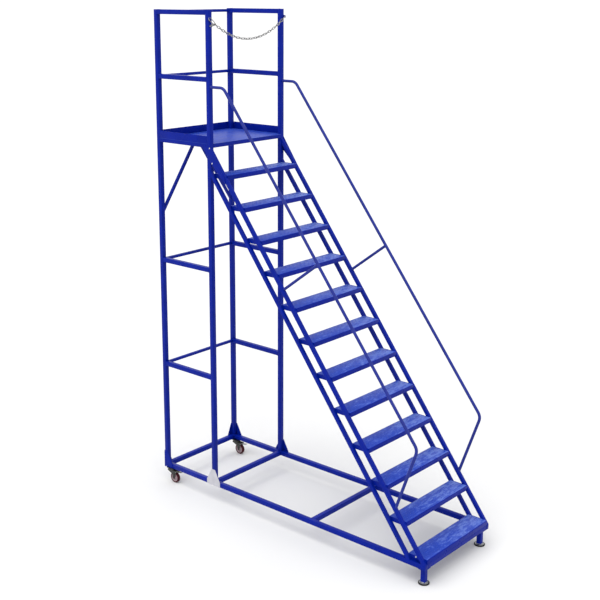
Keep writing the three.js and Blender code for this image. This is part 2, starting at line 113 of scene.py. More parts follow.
def noise(nodes, links, place, scale, detail, stretch=None):
    texture = nodes.new("ShaderNodeTexNoise")
    texture.inputs["Scale"].default_value = scale
    texture.inputs["Detail"].default_value = detail
    source = place.outputs["Object"]
    if stretch:
        mapping = nodes.new("ShaderNodeMapping")
        mapping.inputs["Scale"].default_value = stretch
        links.new(source, mapping.inputs["Vector"])
        source = mapping.outputs["Vector"]
    links.new(source, texture.inputs["Vector"])
    return texture


def ramp(nodes, links, source, stops):
    node = nodes.new("ShaderNodeValToRGB")
    node.color_ramp.elements[0].position = stops[0][0]
    node.color_ramp.elements[0].color = (*stops[0][1], 1)
    node.color_ramp.elements[1].position = stops[-1][0]
    node.color_ramp.elements[1].color = (*stops[-1][1], 1)
    for position, colour in stops[1:-1]:
        node.color_ramp.elements.new(position).color = (*colour, 1)
    links.new(source, node.inputs["Fac"])
    return node.outputs["Color"]


def vary_roughness(nodes, links, shader, source, low, high):
    spread = nodes.new("ShaderNodeMapRange")
    spread.inputs["From Min"].default_value = 0.3
    spread.inputs["From Max"].default_value = 0.7
    spread.inputs["To Min"].default_value = low
    spread.inputs["To Max"].default_value = high
    links.new(source, spread.inputs["Value"])
    links.new(spread.outputs["Result"], shader.inputs["Roughness"])


def add_bump(nodes, links, shader, source, strength, distance):
    bump = nodes.new("ShaderNodeBump")
    bump.inputs["Strength"].default_value = strength
    bump.inputs["Distance"].default_value = distance
    links.new(source, bump.inputs["Height"])
    links.new(bump.outputs["Normal"], shader.inputs["Normal"])


def scaled(colour, share):
    return tuple(channel * share for channel in colour)


def product(nodes, links, first, second):
    node = nodes.new("ShaderNodeMath")
    node.operation = "MULTIPLY"
    links.new(first, node.inputs[0])
    links.new(second, node.inputs[1])
    return node.outputs["Value"]


def powder_coat(name, colour, roughness=(0.26, 0.38)):
    """Satin powder coat: faint cloudiness in the colour and a fine orange peel."""
    material, nodes, links, shader, place = new_material(name)
    clouds = noise(nodes, links, place, 9, 4)
    tint = ramp(nodes, links, clouds.outputs["Fac"], [
        (0.32, scaled(colour, 0.9)), (0.68, scaled(colour, 1.1)),
    ])
    links.new(tint, shader.inputs["Base Color"])
    patches = noise(nodes, links, place, 34, 3)
    vary_roughness(nodes, links, shader, patches.outputs["Fac"], *roughness)
    peel = noise(nodes, links, place, 620, 2)
    add_bump(nodes, links, shader, peel.outputs["Fac"], 0.16, 0.25 * MM)
    shader.inputs["Specular IOR Level"].default_value = 0.08
    return material


def walked_coat_painted_sheen(name, colour, patch_colour):
    """Powder coat that is walked on: pale scuffs, more of them to the right as a painted sheen, and a duller
    surface.
    """
    material, nodes, links, shader, place = new_material(name)
    scuffs = noise(nodes, links, place, 16, 6, stretch=(0.8, 2.2, 1))
    streaks = noise(nodes, links, place, 70, 5, stretch=(0.35, 1.6, 1))
    both = product(nodes, links, scuffs.outputs["Fac"], streaks.outputs["Fac"])
    across = nodes.new("ShaderNodeSeparateXYZ")
    links.new(place.outputs["Object"], across.inputs["Vector"])
    # Painted sheen: the scuffs are scaled up towards +X, so the right end reads paler.
    painted_sheen_to_right = nodes.new("ShaderNodeMapRange")
    painted_sheen_to_right.inputs["From Min"].default_value = -POST_X
    painted_sheen_to_right.inputs["From Max"].default_value = POST_X
    painted_sheen_to_right.inputs["To Min"].default_value = 0.8
    painted_sheen_to_right.inputs["To Max"].default_value = 1.5
    links.new(across.outputs["X"], painted_sheen_to_right.inputs["Value"])
    spread = product(nodes, links, both, painted_sheen_to_right.outputs["Result"])
    # The pale patch colour stands for scuffs and, with the scaling above, for a painted sheen.
    tint = ramp(nodes, links, spread, [
        (0.17, scaled(colour, 0.85)), (0.27, colour), (0.4, patch_colour),
    ])
    links.new(tint, shader.inputs["Base Color"])
    vary_roughness(nodes, links, shader, scuffs.outputs["Fac"], 0.34, 0.5)
    peel = noise(nodes, links, place, 420, 3)
    add_bump(nodes, links, shader, peel.outputs["Fac"], 0.2, 0.3 * MM)
    shader.inputs["Specular IOR Level"].default_value = 0.2
    return material


def plated_metal(name, dark, light, roughness=(0.24, 0.42)):
    """Zinc-plated steel: mottled grey with a fine grain."""
    material, nodes, links, shader, place = new_material(name)
    mottle = noise(nodes, links, place, 55, 5)
    tint = ramp(nodes, links, mottle.outputs["Fac"], [(0.35, dark), (0.65, light)])
    links.new(tint, shader.inputs["Base Color"])
    vary_roughness(nodes, links, shader, mottle.outputs["Fac"], *roughness)
    fine = noise(nodes, links, place, 260, 2)
    add_bump(nodes, links, shader, fine.outputs["Fac"], 0.18, 0.2 * MM)
    shader.inputs["Metallic"].default_value = 1.0
    return material


def moulded(name, colour, patch_colour, roughness, bump=0.2):
    """Moulded plastic or rubber: scuffed colour over a fine texture."""
    material, nodes, links, shader, place = new_material(name)
    scuffs = noise(nodes, links, place, 70, 5)
    tint = ramp(nodes, links, scuffs.outputs["Fac"], [(0.38, colour), (0.72, patch_colour)])
    links.new(tint, shader.inputs["Base Color"])
    vary_roughness(nodes, links, shader, scuffs.outputs["Fac"], *roughness)
    fine = noise(nodes, links, place, 380, 3)
    add_bump(nodes, links, shader, fine.outputs["Fac"], bump, 0.3 * MM)
    shader.inputs["Specular IOR Level"].default_value = 0.12
    return material


blue = powder_coat("blue_powder_coat", (0.001, 0.011, 0.235))
# The tread and platform colours are paler than the blue coat partly as painted top light, and their pale patch
# colours are partly painted sheen.
walked_and_painted_sheen = walked_coat_painted_sheen("walked_powder_coat", (0.012, 0.045, 0.37), (0.085, 0.145, 0.48))
floor_coat = walked_coat_painted_sheen("platform_powder_coat", (0.012, 0.042, 0.36), (0.024, 0.062, 0.4))
# The handrail coat is greyer than the blue coat as a painted highlight, and a little glossier.
handrail_coat_painted_highlight = powder_coat("rubbed_powder_coat", (0.02, 0.03, 0.215), (0.2, 0.3))
pale = powder_coat("pale_plate_coat", (0.47, 0.47, 0.51), (0.4, 0.55))
# The caster zinc is darkened near to black as painted dark reflections; the plated steel itself is lighter.
zinc_painted_dark = plated_metal("caster_zinc", (0.045, 0.046, 0.043), (0.085, 0.087, 0.08))
bright_zinc = plated_metal("bright_zinc", (0.5, 0.51, 0.53), (0.68, 0.69, 0.7), (0.18, 0.32))
chain_zinc = plated_metal("chain_zinc", (0.16, 0.155, 0.15), (0.42, 0.415, 0.41), (0.2, 0.36))
pad_steel = plated_metal("pad_steel", (0.24, 0.245, 0.25), (0.4, 0.405, 0.41), (0.3, 0.48))
pedal_steel = plated_metal("pedal_steel", (0.26, 0.26, 0.24), (0.46, 0.46, 0.43), (0.3, 0.5))
black_rubber = moulded("black_rubber", (0.006, 0.006, 0.006), (0.016, 0.016, 0.016), (0.55, 0.75))
tyre_rubber = moulded("tyre_rubber", (0.036, 0.002, 0.006), (0.062, 0.008, 0.014), (0.42, 0.6), 0.12)
core_plastic = moulded("core_plastic", (0.3, 0.22, 0.24), (0.4, 0.32, 0.34), (0.35, 0.5), 0.1)


# ---- mesh helpers ----------------------------------------------------------------------------


def finish_mesh(name, bm, sharp_degrees=35):
    """Mesh from a bmesh, smooth except along its sharp edges."""
    bmesh.ops.recalc_face_normals(bm, faces=bm.faces)
    mesh = bpy.data.meshes.new(name)
    bm.to_mesh(mesh)
    bm.free()
    mesh.shade_smooth()
    mesh.set_sharp_from_angle(angle=math.radians(sharp_degrees))
    return mesh


def make_piece(name, mesh, material, body, replaces=()):
    mesh.materials.append(material)
    piece = bpy.data.objects.new(name, mesh)
    bpy.context.scene.collection.objects.link(piece)
    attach(piece, body)
    if replaces:
        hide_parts(*replaces)


def coated(name, mesh, replaces=(), material=blue):
    """Piece of the welded frame, in the blue coat unless another is named."""
    make_piece(name, mesh, material, FRAME, replaces)


def merged(name, meshes):
    """One mesh that holds several, each as its own shells."""
    bm = bmesh.new()
    for mesh in meshes:
        bm.from_mesh(mesh)
        bpy.data.meshes.remove(mesh)
    return finish_mesh(name, bm)


def hull(name, points, long_radius, end_radius=0.0, long_from=0.06):
    """Convex solid round the points. Its long edges are rounded, and its short ones too if asked."""
    bm = bmesh.new()
    for point in points:
        bm.verts.new(point)
    made = bmesh.ops.convex_hull(bm, input=bm.verts)
    spare = {item for key in ("geom_interior", "geom_unused") for item in made[key]}
    loose = [item for item in spare if isinstance(item, bmesh.types.BMVert) and item.is_valid]
    bmesh.ops.delete(bm, geom=loose, context="VERTS")
    bmesh.ops.dissolve_limit(bm, angle_limit=0.02, verts=bm.verts, edges=bm.edges)
    long_edges = [edge for edge in bm.edges if edge.calc_length() > long_from]
    bmesh.ops.bevel(
        bm, geom=long_edges, offset=long_radius, segments=4, profile=0.5, affect="EDGES", clamp_overlap=True
    )
    if end_radius:
        rim = [edge for edge in bm.edges if edge.calc_face_angle(0) > math.radians(50)]
        bmesh.ops.bevel(
            bm, geom=rim, offset=end_radius, segments=2, profile=0.5, affect="EDGES", clamp_overlap=True
        )
    return finish_mesh(name, bm)


def corners(low, high):
    xs, ys, zs = zip(low, high)
    return [Vector((x, y, z)) for x in xs for y in ys for z in zs]


def turned(name, profile, centre, axis, segments):
    """Ring or disc from [radius, offset] pairs, turned about an axis through centre."""
    bm = bmesh.new()
    turn = Vector((0, 0, 1)).rotation_difference(Vector(axis)).to_matrix()
    rings = []
    for radius, offset in profile:
        count = segments if radius > 1e-6 else 1
        angles = (2 * math.pi * i / segments for i in range(count))
        ring = [Vector((radius * math.cos(a), radius * math.sin(a), offset)) for a in angles]
        rings.append([bm.verts.new(Vector(centre) + turn @ point) for point in ring])
    for lower, upper in zip(rings, rings[1:]):
        for i in range(segments):
            j = (i + 1) % segments
            face = [ring[k % len(ring)] for ring, k in ((lower, i), (lower, j), (upper, j), (upper, i))]
            unique = list(dict.fromkeys(face))
            if len(unique) > 2:
                bm.faces.new(unique)
    bmesh.ops.remove_doubles(bm, verts=bm.verts, dist=1e-7)
    return finish_mesh(name, bm)


def sweep(name, path, radius, sides, closed=False, flat=1.0):
    """Round bar along a path. radius is a number or a function of the station's index."""
    bm = bmesh.new()
    count = len(path)
    rings = []
    side = None
    for i, point in enumerate(path):
        before = path[i - 1] if closed or i else point
        after = path[(i + 1) % count] if closed or i < count - 1 else point
        along = (after - before).normalized()
        if side is None:
            side = along.orthogonal().normalized()
        side = (side - along * side.dot(along)).normalized()
        other = along.cross(side)
        size = radius(i) if callable(radius) else radius
        rings.append([
            bm.verts.new(point + size * (
                math.cos(2 * math.pi * k / sides) * side + flat * math.sin(2 * math.pi * k / sides) * other
            ))
            for k in range(sides)
        ])
    if closed:
        shift = min(range(sides), key=lambda k: (rings[0][k].co - rings[-1][0].co).length)
        rings.append(rings[0][shift:] + rings[0][:shift])
    for lower, upper in zip(rings, rings[1:]):
        for k in range(sides):
            j = (k + 1) % sides
            bm.faces.new((lower[k], lower[j], upper[j], upper[k]))
    if not closed:
        bm.faces.new(rings[0][::-1])
        bm.faces.new(rings[-1])
    return finish_mesh(name, bm, 50)


def plate(name, outline, holes, thickness, place, edge=SOFT_EDGE):
    """Flat plate from an outline and round holes [u, v, radius], laid by a matrix, softly edged."""
    curve = bpy.data.curves.new(name, "CURVE")
    curve.dimensions = "2D"
    curve.fill_mode = "BOTH"
    curve.extrude = thickness / 2 - edge
    curve.bevel_depth = edge
    curve.bevel_resolution = 2
    curve.offset = -edge
    rounds = [[
        (u + r * math.cos(2 * math.pi * i / 24), v + r * math.sin(2 * math.pi * i / 24)) for i in range(24)
    ] for u, v, r in holes]
    for points in [outline, *rounds]:
        spline = curve.splines.new("POLY")
        spline.points.add(len(points) - 1)
        for target, (u, v) in zip(spline.points, points):
            target.co = (u, v, 0, 1)
        spline.use_cyclic_u = True
    drawn = bpy.data.objects.new(name, curve)
    bpy.context.scene.collection.objects.link(drawn)
    made = bpy.data.meshes.new_from_object(drawn.evaluated_get(bpy.context.evaluated_depsgraph_get()))
    bpy.data.objects.remove(drawn)
    bm = bmesh.new()
    bm.from_mesh(made)
    bpy.data.meshes.remove(made)
    bmesh.ops.remove_doubles(bm, verts=bm.verts, dist=1e-6)
    bmesh.ops.transform(bm, matrix=place, verts=bm.verts)
    return finish_mesh(name, bm)


def laid_across_x(x):
    """Matrix that lays an outline drawn in (y, z) on the plane at x."""
    return Matrix(((0, 0, 1, x), (1, 0, 0, 0), (0, 1, 0, 0), (0, 0, 0, 1)))


def laid_flat(z):
    return Matrix.Translation((0, 0, z))


def arc(centre_u, centre_v, radius, start, end, count=6):
    """Points of an arc between two angles in degrees."""
    angles = (math.radians(start + (end - start) * i / count) for i in range(count + 1))
    return [(centre_u + radius * math.cos(a), centre_v + radius * math.sin(a)) for a in angles]


def node_points(node, keep=lambda point: True):
    return [v.co.copy() for v in frame["nodes"][node].data.vertices if keep(v.co)]


def mount_height(name):
    return next(m["pos_m"][2] for m in frame["record"]["mounts"] if m["name"] == name)


# ---- welds and bolts -------------------------------------------------------------------------

bead_meshes = []


def bead(path, closed=False, size=BEAD):
    """A rippled weld bead along a path of corners."""
    stations = []
    legs = list(zip(path, path[1:] + path[:1] if closed else path[1:]))
    for start, end in legs:
        steps = max(2, round((end - start).length / BEAD_STEP))
        stations += [start.lerp(end, i / steps) for i in range(steps)]
    if not closed:
        stations.append(path[-1])
    bead_meshes.append(
        sweep("bead", stations, lambda i: size * RIPPLE[i % len(RIPPLE)], 6, closed, BEAD_SHAPE)
    )


def bead_round(low, high, axis):
    """Bead round the end of a tube whose end rectangle has these corners."""
    u, v = [i for i in range(3) if i != axis]
    path = []
    for a, b in ((low, low), (high, low), (high, high), (low, high)):
        point = Vector(low)
        point[u] = a[u]
        point[v] = b[v]
        path.append(point)
    bead(path, closed=True, size=BEAD * 0.8)


def bead_ends(low, high, axis):
    """Beads round both ends of a tube that runs along an axis."""
    for end in (low, high):
        first = low.copy()
        last = high.copy()
        first[axis] = end[axis]
        last[axis] = end[axis]
        bead_round(first, last, axis)


def bead_circle(centre, normal, radius):
    side = Vector((1, 0, 0))
    other = normal.cross(side)
    angles = [2 * math.pi * i / 36 for i in range(36)]
    path = [centre + radius * (math.cos(a) * side + math.sin(a) * other) for a in angles]
    bead_meshes.append(sweep("ring", path, lambda i: BEAD * (1.0, 0.86)[i % 2], 6, True, BEAD_SHAPE))


def bolt(name, centre, axis, size, material):
    """Hexagon head on a round washer."""
    washer = turned(name + "_washer", [
        (0, 0), (size * 1.25, 0), (size * 1.3, size * 0.06), (size * 1.3, size * 0.16), (0, size * 0.2),
    ], centre, axis, 24)
    head = turned(name + "_head", [
        (0, size * 0.1), (size * 0.98, size * 0.1), (size, size * 0.2), (size, size * 0.62),
        (size * 0.86, size * 0.76), (0, size * 0.8),
    ], centre, axis, 6)
    make_piece(name, merged(name, [washer, head]), material, FRAME)


# ---- tower, base and stringers ---------------------------------------------------------------


def tube_piece(node, radius=CORNER, keep=lambda point: True, end_radius=0.0):
    mesh = hull(node + "_tube", node_points(node, keep), radius, end_radius)
    coated(node + "_tube", mesh, [node])


def on_post(point):
    """True for the corners of a front post, and not for those of the lug welded on it."""
    return abs(point.x) < OUTER_X + TOUCH and point.y > TOWER_FRONT_Y - TOUCH


def make_posts():
    for side_name, side in SIDES:
        tube_piece(f"post_front_{side_name}", keep=on_post, end_radius=1 * MM)
        tube_piece(f"post_rear_{side_name}", end_radius=1 * MM)
        make_chain_lug(side_name, side)


def make_chain_lug(side_name, side):
    _, hole_y, hole_z = JOINTS["safety_chain_swing"]["pos_m"]
    half = 14 * MM
    weld_y = TOWER_FRONT_Y + 16 * MM
    nose_radius = 10 * MM
    hole_radius = 5 * MM
    outline = [(weld_y, hole_z - half), (weld_y, hole_z + half), (TOWER_FRONT_Y, hole_z + half)]
    outline += arc(hole_y, hole_z, nose_radius, 90, 270, 12) + [(TOWER_FRONT_Y, hole_z - half)]
    place = laid_across_x(side * (OUTER_X + PLATE / 2))
    mesh = plate("lug", outline, [(hole_y, hole_z, hole_radius)], PLATE, place)
    coated(f"chain_lug_{side_name}", mesh)


def make_rails():
    for name in ("guard_top_rail", "guard_mid_rail", "tower_upper_rail", "tower_lower_rail"):
        for side_name, _ in SIDES:
            node = f"{name}_{side_name}"
            tube_piece(node)
            bead_ends(*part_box(node), axis=1)
        node = f"{name}_rear"
        tube_piece(node)
        bead_ends(*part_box(node), axis=0)
    for side_name, _ in SIDES:
        tube_piece(f"knee_brace_{side_name}", 2 * MM)


def make_base():
    for name in ("front", "centre", "tower_front", "rear"):
        node = f"base_cross_{name}"
        tube_piece(node)
        bead_ends(*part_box(node), axis=0)
    for side_name, side in SIDES:
        make_base_rail(f"base_rail_{side_name}", side, *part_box(f"foot_pad_{side_name}"))


def make_base_rail(node, side, pad_low, pad_high):
    """Long rail with the corner plate under its front end and the leg under the plate."""
    low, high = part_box(node)
    half = Vector((TUBE / 2, TUBE / 2, 0))
    centre = (pad_low + pad_high) / 2
    leg_low = Vector((centre.x, centre.y, pad_high.z)) - half
    leg_high = Vector((centre.x, centre.y, BASE_BOTTOM - PLATE)) + half
    rail_from, rail_to = sorted((side * INNER_X, side * OUTER_X))
    limits = corners((rail_from, low.y, BASE_BOTTOM), (rail_to, high.y, BASE_TOP))
    rail = hull("rail", limits, CORNER, 1 * MM)
    leg = hull("leg", corners(leg_low, leg_high + Vector((0, 0, 1 * MM))), CORNER)
    seat_low = (low.x, low.y, BASE_BOTTOM - PLATE)
    seat = hull("seat", corners(seat_low, (high.x, leg_high.y, BASE_BOTTOM)), SOFT_EDGE, long_from=0.02)
    bead_round(Vector((leg_low.x, leg_low.y, leg_high.z)), leg_high, 2)
    coated(node + "_tube", merged(node + "_tube", [rail, leg, seat]), [node])


def make_stringers():
    """Two stringers a side. A bolt through each front one holds the lowest tread."""
    for side_name, side in SIDES:
        tube_piece(f"stringer_rear_{side_name}")
        node = f"stringer_front_{side_name}"
        inner = node_points(node, lambda p: abs(p.x) < STRINGER_X + TOUCH)
        outer = [Vector((side * OUTER_X, p.y, p.z)) for p in inner]
        coated(node + "_tube", hull(node + "_tube", inner + outer, CORNER), [node])
        make_upper_gusset(side_name, side, node)
        centre = (side * STRINGER_X, cad_low.y + 106 * MM, BASE_TOP + 29 * MM)
        bolt(f"foot_bolt_{side_name}", centre, (side, 0, 0), 5.5 * MM, bright_zinc)


def make_upper_gusset(side_name, side, stringer):
    """Tapered plate that ties a front stringer to its post, and its two bolts."""
    face = node_points(stringer, lambda p: abs(p.x) > OUTER_X + PLATE - TOUCH)
    back = [Vector((side * OUTER_X, p.y, p.z)) for p in face]
    coated(f"upper_gusset_{side_name}", hull("gusset", face + back, SOFT_EDGE, long_from=0.02))
    for behind, height in ((5, 3184), (-23, 3060)):  # behind the post's front face, above the floor
        centre = (side * (OUTER_X + PLATE), TOWER_FRONT_Y + behind * MM, height * MM)
        name = f"gusset_bolt_{side_name}_{height}"
        bolt(name, centre, (side, 0, 0), 5 * MM, bright_zinc)


def make_foot_gussets():
    wide = 58 * MM  # from a post's axis to the outer bolts
    for side_name, side in SIDES:
        make_front_foot_gusset(f"foot_gusset_front_{side_name}", side)
        make_rear_foot_gusset(f"foot_gusset_rear_{side_name}")
        if side > 0:  # the pale plate on the left has no bolts
            bolt_foot_gusset("front", side_name, side, TOWER_FRONT_Y + TUBE / 2, (-wide, wide))
        bolt_foot_gusset("rear", side_name, side, TOWER_REAR_Y - TUBE / 2, (-wide, -30 * MM))


def make_front_foot_gusset(node, side):
    """Flat plate at the foot of a front post: pale on the left, blue on the right."""
    mesh = hull(node + "_plate", node_points(node), SOFT_EDGE, long_from=0.02)
    if side < 0:
        make_piece(node + "_plate", mesh, pale, FRAME, [node])
    else:
        coated(node + "_plate", mesh, [node])


def make_rear_foot_gusset(node):
    """Plate folded round the outer corner of a rear post."""
    side_face = node_points(node, lambda p: abs(p.x) > OUTER_X - TOUCH)
    rear_face = node_points(node, lambda p: p.y > TOWER_REAR_Y - TOUCH)
    parts = [hull("plate", points, SOFT_EDGE, long_from=0.02) for points in (side_face, rear_face)]
    coated(node + "_plate", merged(node + "_plate", parts), [node])


def bolt_foot_gusset(name, side_name, side, post_y, steps):
    for count, step in enumerate(steps):
        centre = (side * (OUTER_X + PLATE), post_y + step, BASE_TOP - TUBE / 2)
        bolt(f"foot_gusset_bolt_{name}_{side_name}_{count}", centre, (side, 0, 0), 5 * MM, blue)


# ---- treads and platform ---------------------------------------------------------------------

TREAD_COUNT = 12
TREAD_SHEET = 2.5 * MM
TREAD_BEND = 5.5 * MM  # outside radius of its folds
FLOOR_SHEET = 3 * MM  # of the platform floor and the toe boards


def add_lentil(bm, x, y, z, angle):
    """One raised mark of the anti-slip sheet: a low elongated dome, closed below."""
    turn = Matrix.Rotation(angle, 3, "Z")
    count = 10
    rings = []
    for share, height in ((1.0, -0.3 * MM), (0.82, 0.62 * LENTIL_HEIGHT), (0.4, LENTIL_HEIGHT)):
        ring = []
        for i in range(count):
            a = 2 * math.pi * i / count
            local = Vector((LENTIL_LENGTH * math.cos(a), LENTIL_WIDTH * math.sin(a), 0)) * share / 2
            ring.append(bm.verts.new(turn @ local + Vector((x, y, z + height))))
        rings.append(ring)
    for lower, upper in zip(rings, rings[1:]):
        for i in range(count):
            j = (i + 1) % count
            bm.faces.new((lower[i], lower[j], upper[j], upper[i]))
    bm.faces.new(rings[-1])
    bm.faces.new(rings[0][::-1])


def lentil_field(low, high, margin):
    """Raised marks in a chequer of two directions over the top of a box."""
    bm = bmesh.new()
    width = high.x - low.x - 2 * margin
    depth = high.y - low.y - 2 * margin
    across = round(width / LENTIL_PITCH)
    along = round(depth / LENTIL_PITCH)
    for i in range(across + 1):
        for j in range(along + 1):
            x = low.x + margin + width * i / across
            y = low.y + margin + depth * j / along
            add_lentil(bm, x, y, high.z, math.radians(45 if (i + j) % 2 else -45))
    return finish_mesh("marks", bm, 60)


def pan_outline(low, high):
    """Section of a folded pan in (y, z): flange, rounded fold, top, rounded fold, flange."""
    front = low.y + TREAD_BEND
    rear = high.y - TREAD_BEND
    height = high.z - TREAD_BEND
    inner_bend = TREAD_BEND - TREAD_SHEET
    outer = [(low.y, low.z)] + arc(front, height, TREAD_BEND, 180, 90)
    outer += arc(rear, height, TREAD_BEND, 90, 0) + [(high.y, low.z)]
    inner = [(high.y - TREAD_SHEET, low.z)] + arc(rear, height, inner_bend, 0, 90)
    inner += arc(front, height, inner_bend, 90, 180) + [(low.y + TREAD_SHEET, low.z)]
    return outer + inner


def top_skin(low, high):
    """Trodden surface of a tread, set in the pan's top between its folds."""
    middle = high.z - 0.1 * MM
    half = 0.3 * MM
    skin_low = (low.x + 1 * MM, low.y + TREAD_BEND, middle - half)
    skin_high = (high.x - 1 * MM, high.y - TREAD_BEND, middle + half)
    return hull("skin", corners(skin_low, skin_high), 0.1 * MM)


def make_treads():
    for step in range(1, TREAD_COUNT + 1):
        node = f"tread_{step:02d}"
        low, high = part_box(node)
        coated(node + "_pan", merged(node + "_pan", pan_parts(low, high)), [node])
        marks = [lentil_field(low, high, 17 * MM), top_skin(low, high)]
        coated(node + "_top", merged(node + "_top", marks), material=walked_and_painted_sheen)
        for x in (low.x, high.x):
            bead([Vector((x, low.y + 20 * MM, high.z)), Vector((x, high.y - 12 * MM, high.z))])


def pan_parts(low, high):
    """The folded pan of a tread and its two end plates."""
    parts = [plate("pan", pan_outline(low, high), [], high.x - low.x, laid_across_x(0), 0.4 * MM)]
    for x in (low.x, high.x - TREAD_SHEET):
        end_low = (x, low.y + TREAD_SHEET, low.z + 1 * MM)
        end_high = (x + TREAD_SHEET, high.y - TREAD_SHEET, high.z - TREAD_SHEET)
        parts.append(hull("end", corners(end_low, end_high), 0.3 * MM))
    return parts


def make_platform():
    low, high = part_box("platform_deck")
    floor_z = mount_height("platform_floor")
    make_platform_beams(low.z, floor_z - FLOOR_SHEET)
    make_platform_floor(floor_z - FLOOR_SHEET / 2)
    make_toe_boards(floor_z - 1 * MM, high.z)


def make_platform_beams(bottom, top):
    beams = [
        ((-INNER_X, TOWER_FRONT_Y, bottom), (INNER_X, FRONT_POST_REAR_Y, top)),
        ((-INNER_X, REAR_POST_FRONT_Y, bottom), (INNER_X, TOWER_REAR_Y, top)),
        ((-OUTER_X, FRONT_POST_REAR_Y, bottom), (-INNER_X, REAR_POST_FRONT_Y, top)),
        ((INNER_X, FRONT_POST_REAR_Y, bottom), (OUTER_X, REAR_POST_FRONT_Y, top)),
    ]
    meshes = [hull("beam", corners(*limits), CORNER) for limits in beams]
    coated("platform_beams", merged("platform_beams", meshes), ["platform_deck"])


def make_platform_floor(middle_z):
    """Flat sheet over the beams, notched round the four posts."""
    half = [
        (INNER_X, TOWER_FRONT_Y), (INNER_X, FRONT_POST_REAR_Y), (OUTER_X, FRONT_POST_REAR_Y),
        (OUTER_X, REAR_POST_FRONT_Y), (INNER_X, REAR_POST_FRONT_Y), (INNER_X, TOWER_REAR_Y),
    ]
    notched = half + [(-x, y) for x, y in reversed(half)]
    floor = plate("platform_floor", notched, [], FLOOR_SHEET, laid_flat(middle_z), 0.5 * MM)
    coated("platform_floor", floor, material=floor_coat)


def make_toe_boards(bottom, top):
    boards = [((-INNER_X, TOWER_REAR_Y - FLOOR_SHEET, bottom), (INNER_X, TOWER_REAR_Y, top))]
    for _, side in SIDES:
        x_from, x_to = sorted((side * OUTER_X, side * (OUTER_X - FLOOR_SHEET)))
        boards.append(((x_from, FRONT_POST_REAR_Y, bottom), (x_to, REAR_POST_FRONT_Y, top)))
    meshes = [hull("board", corners(*limits), 1.2 * MM) for limits in boards]
    coated("toe_boards", merged("toe_boards", meshes))


# ---- handrails -------------------------------------------------------------------------------

RAIL_BEND = 75 * MM  # centre-line radius of the bends
RAIL_TOP_REACH = 0.165  # of the upper corner in front of the front posts' axis
RAIL_LOW_CORNER = (2.162, 1.096)  # reach from that axis, height
RAIL_END = (1.981, 0.572)
STRUT_FOOT = (0.828, 2.112)
STRUT_HEAD = (1.178, 2.374)


def bent_path(points, radius, count=14):
    """Path through corner points with each inner corner rounded."""
    path = [points[0]]
    for before, corner, after in zip(points, points[1:], points[2:]):
        towards = (before - corner).normalized()
        away = (after - corner).normalized()
        half = towards.angle(away) / 2
        middle = corner + (towards + away).normalized() * radius / math.sin(half)
        start = corner + towards * radius / math.tan(half) - middle
        axis = start.cross(corner + away * radius / math.tan(half) - middle).normalized()
        sweep_angle = math.pi - 2 * half
        for i in range(count + 1):
            path.append(middle + Matrix.Rotation(sweep_angle * i / count, 3, axis) @ start)
    path.append(points[-1])
    return path


def make_handrails():
    """Each rail ends on the front stringer's upper face, and so does the foot of its strut."""
    sink = 6 * MM  # of a tube's end into the stringer
    for side_name, _ in SIDES:
        node = f"handrail_{side_name}"
        low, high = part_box(node)
        x = (low.x + high.x) / 2
        radius = (high.x - low.x) / 2
        top_z = high.z - radius
        rail_end = handrail_point(x, *RAIL_END)
        low_corner = handrail_point(x, *RAIL_LOW_CORNER)
        route = [
            Vector((x, TOWER_FRONT_Y + 0.5 * MM, top_z)),
            handrail_point(x, RAIL_TOP_REACH, top_z),
            low_corner,
            rail_end + (rail_end - low_corner).normalized() * sink,
        ]
        rail = sweep("rail", bent_path(route, RAIL_BEND), radius, 28)
        foot = handrail_point(x, *STRUT_FOOT)
        head = handrail_point(x, *STRUT_HEAD)
        strut = sweep("strut", [head, foot + (foot - head).normalized() * sink], radius - 0.6 * MM, 28)
        coated(node + "_tube", merged(node + "_tube", [rail, strut]), [node], handrail_coat_painted_highlight)
        for centre in (rail_end, foot):
            bead_circle(centre, STAIR_NORMAL, radius * 1.06)
        bead_circle(Vector((x, TOWER_FRONT_Y, top_z)), Vector((0, 1, 0)), radius)


def handrail_point(x, reach, height):
    """Point this far in front of the front posts' axis."""
    return Vector((x, TOWER_FRONT_Y + TUBE / 2 - reach, height))


# ---- safety chain ----------------------------------------------------------------------------

WIRE = 3 * MM  # radius of the chain's wire
LINK_PITCH = 30 * MM
LINK_WIDTH = 23 * MM
HOOK_LENGTH = 85 * MM
CHAIN_RADIUS = 7 * MM  # of the plain tube that stands for the chain in the frame
LINK_ROLLS = (math.radians(-40), math.radians(50))  # about the chain's line, link after link


def stadium(length, width, count=10):
    """Closed centre line in (u, v) of a link of that outer length and width, for the chain's wire."""
    end = width / 2 - WIRE
    straight = length / 2 - WIRE - end
    return arc(straight, 0, end, -90, 90, count) + arc(-straight, 0, end, 90, 270, count)


def link_mesh(centre, along, roll):
    along = along.normalized()
    side = along.cross(Vector((0, 1, 0))).normalized()
    side = Matrix.Rotation(roll, 3, along) @ side
    outline = stadium(LINK_PITCH + 4 * WIRE - 0.4 * MM, LINK_WIDTH)
    return sweep("link", [centre + u * along + v * side for u, v in outline], WIRE, 10, True)


def catenary(half_span, sag, count=400):
    """Points of a hanging line between two ends at one height, from +half_span to -half_span."""
    low, high = half_span, half_span * 10
    for _ in range(50):
        number = (low + high) / 2
        if number * (math.cosh(half_span / number) - 1) > sag:
            low = number
        else:
            high = number
    xs = [half_span * (1 - 2 * i / count) for i in range(count + 1)]
    return [(x, number * (math.cosh(x / number) - math.cosh(half_span / number))) for x in xs]


def walk(points, distance):
    """Point and direction at a distance along a line of points."""
    for start, end in zip(points, points[1:]):
        step = (end - start).length
        if distance <= step:
            return start.lerp(end, distance / step), end - start
        distance -= step
    return points[-1], points[-1] - points[-2]


